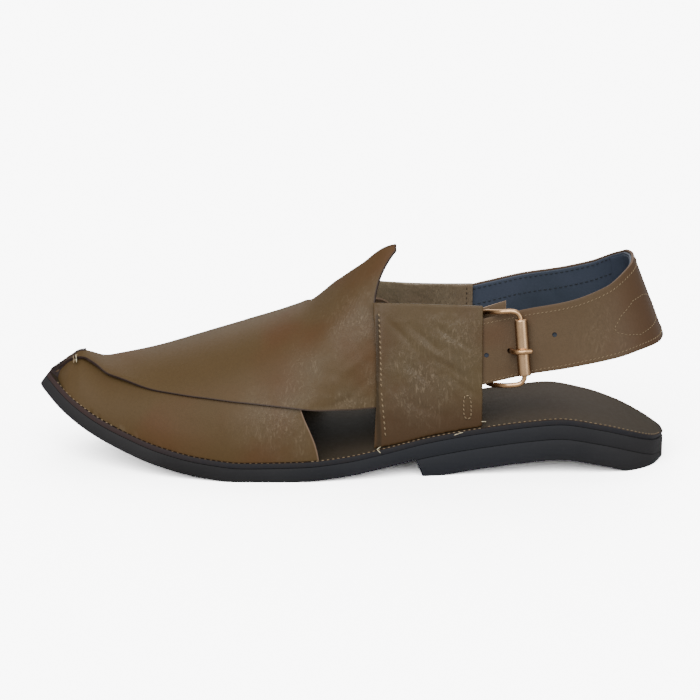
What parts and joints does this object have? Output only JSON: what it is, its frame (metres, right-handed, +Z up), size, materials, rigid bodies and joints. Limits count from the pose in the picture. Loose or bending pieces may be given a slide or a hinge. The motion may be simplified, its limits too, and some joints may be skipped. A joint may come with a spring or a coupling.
{
  "type": "peshawari chappal",
  "caption": "Left sandal with two broad leather leaves crossed over the forefoot, folded side panels, a buckled heel strap and a low heel under an upturned toe.",
  "frame": {"origin": "middle of the sandal's bounding box, on the floor it stands on", "axes": "+X from the toe to the heel, +Y towards the inner side of the foot, +Z up; the buckle is on the outer side, -Y"},
  "size_m": [0.292, 0.097, 0.1024],
  "materials": {
    "upper_leather": "semi-gloss",
    "panel_leather": "semi-gloss, pebbled",
    "strap_leather": "semi-gloss",
    "insole_leather": "satin",
    "sole_rubber": "matte",
    "buckle_metal": "satin"
  },
  "bodies": {
    "root": {"insole": "insole_leather", "outsole": "sole_rubber", "heel_lift": "sole_rubber", "upper": "upper_leather", "quarter_outer": "panel_leather", "quarter_inner": "panel_leather", "heel_strap": "strap_leather", "buckle_frame": "buckle_metal", "buckle_roller": "buckle_metal", "buckle_tongue": "buckle_metal"}
  },
  "joints": []
}
